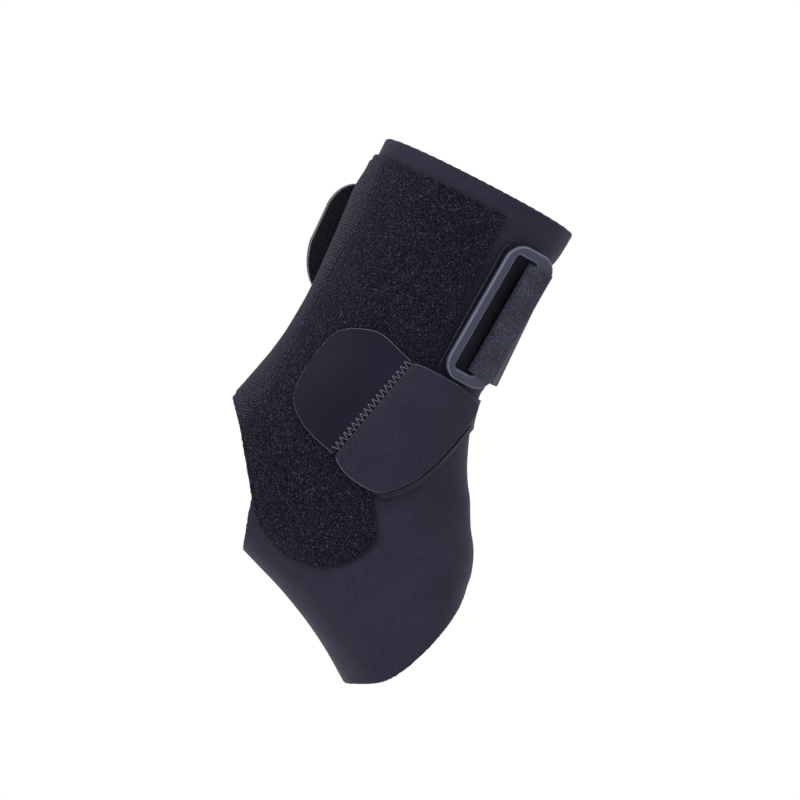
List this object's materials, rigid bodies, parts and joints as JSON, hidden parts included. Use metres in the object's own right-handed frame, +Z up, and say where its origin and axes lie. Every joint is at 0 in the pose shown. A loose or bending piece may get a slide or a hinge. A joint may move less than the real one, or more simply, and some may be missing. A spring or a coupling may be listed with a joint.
{
  "type": "ankle brace",
  "caption": "Wrap-around ankle brace with open heel and toes, a fuzzy fastening panel, a ring with a folded upper strap and a crossing lower strap with a hook tab.",
  "frame": {"origin": "centre of the hollow at ankle height, where the joint of the wearer sits", "axes": "+Z up the shaft, +X towards the toes, -Y to the outer side, which carries the ring and the tab"},
  "size_m": [0.1369, 0.0932, 0.2264],
  "materials": {
    "neoprene": "charcoal cloth-faced foam rubber, matt, slight purple tint",
    "loop": "fuzzy black loop fabric with a speckled pile",
    "hook": "greenish black hook fabric, fine grain, pale cut edge",
    "webbing": "blue-grey woven elastic webbing",
    "plastic": "slate-grey moulded plastic, satin"
  },
  "bodies": {
    "root": {"sleeve": "neoprene", "loop_panel": "loop", "ring_tape": "webbing", "ring": "plastic", "upper_strap": "webbing", "upper_hook_tab": "hook", "lower_strap": "neoprene", "strap_end": "neoprene", "hook_tab": "hook"}
  },
  "joints": []
}
